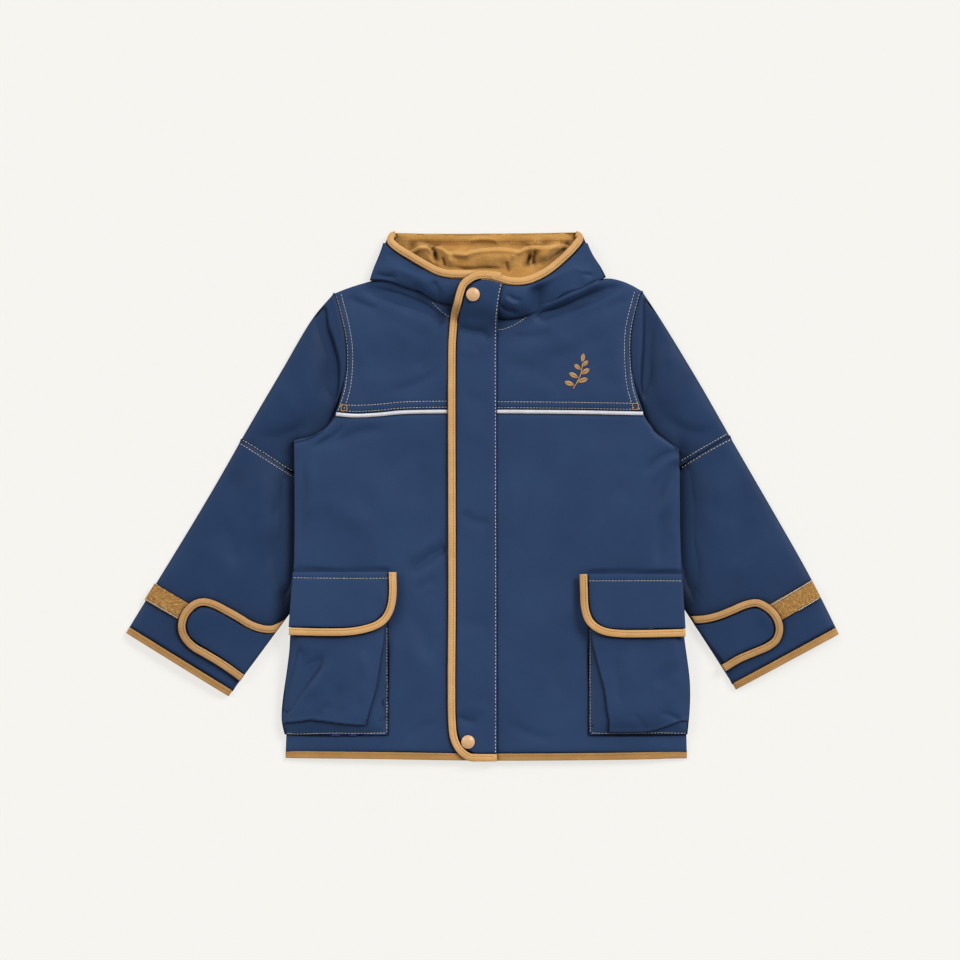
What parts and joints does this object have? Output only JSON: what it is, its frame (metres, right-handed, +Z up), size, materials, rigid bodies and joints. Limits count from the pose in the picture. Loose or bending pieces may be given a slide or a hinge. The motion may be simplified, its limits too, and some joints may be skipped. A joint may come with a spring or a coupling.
{
  "type": "child's hooded parka",
  "caption": "Child's hooded parka laid flat on its back, snapped shut, with storm flap, bellows pockets, cuff tabs, bound edges and fleece bunched in the hood.",
  "frame": {"origin": "middle of the box round the garment, on the surface that it lies on", "axes": "+X across the garment to the wearer's left, +Y from the hem to the hood, +Z up from the surface through the thickness"},
  "size_m": [0.714, 0.5294, 0.033],
  "materials": {
    "shell": "matte coated weave, navy, over a fleece lining",
    "binding": "folded knitted binding, gold",
    "fleece": "short brushed pile, gold",
    "piping": "reflective tape folded to a piping, silver grey",
    "loop_tape": "looped pile tape, dull gold",
    "snap": "painted snap cap, pale gold"
  },
  "bodies": {
    "root": {"back": "shell", "front_yoke_right": "shell", "front_yoke_left": "shell", "front_lower_right": "shell", "front_lower_left": "shell", "reflective_piping_right": "piping", "reflective_piping_left": "piping", "sleeve_upper_right": "shell", "sleeve_lower_right": "shell", "cuff_binding_right": "binding", "sleeve_upper_left": "shell", "sleeve_lower_left": "shell", "cuff_binding_left": "binding", "hem_binding": "binding", "loop_strip_right": "loop_tape", "cuff_tab_right": "shell", "cuff_tab_binding_right": "binding", "loop_strip_left": "loop_tape", "cuff_tab_left": "shell", "cuff_tab_binding_left": "binding", "pocket_bag_right": "shell", "pocket_flap_right": "shell", "flap_binding_right": "binding", "pocket_bag_left": "shell", "pocket_flap_left": "shell", "flap_binding_left": "binding", "hood_side_right": "shell", "hood_side_left": "shell", "hood_binding_right": "binding", "hood_binding_left": "binding", "hood_back": "shell", "hood_lining": "fleece", "storm_flap": "shell", "storm_flap_binding": "binding", "snap_top": "snap", "snap_bottom": "snap"}
  },
  "joints": []
}
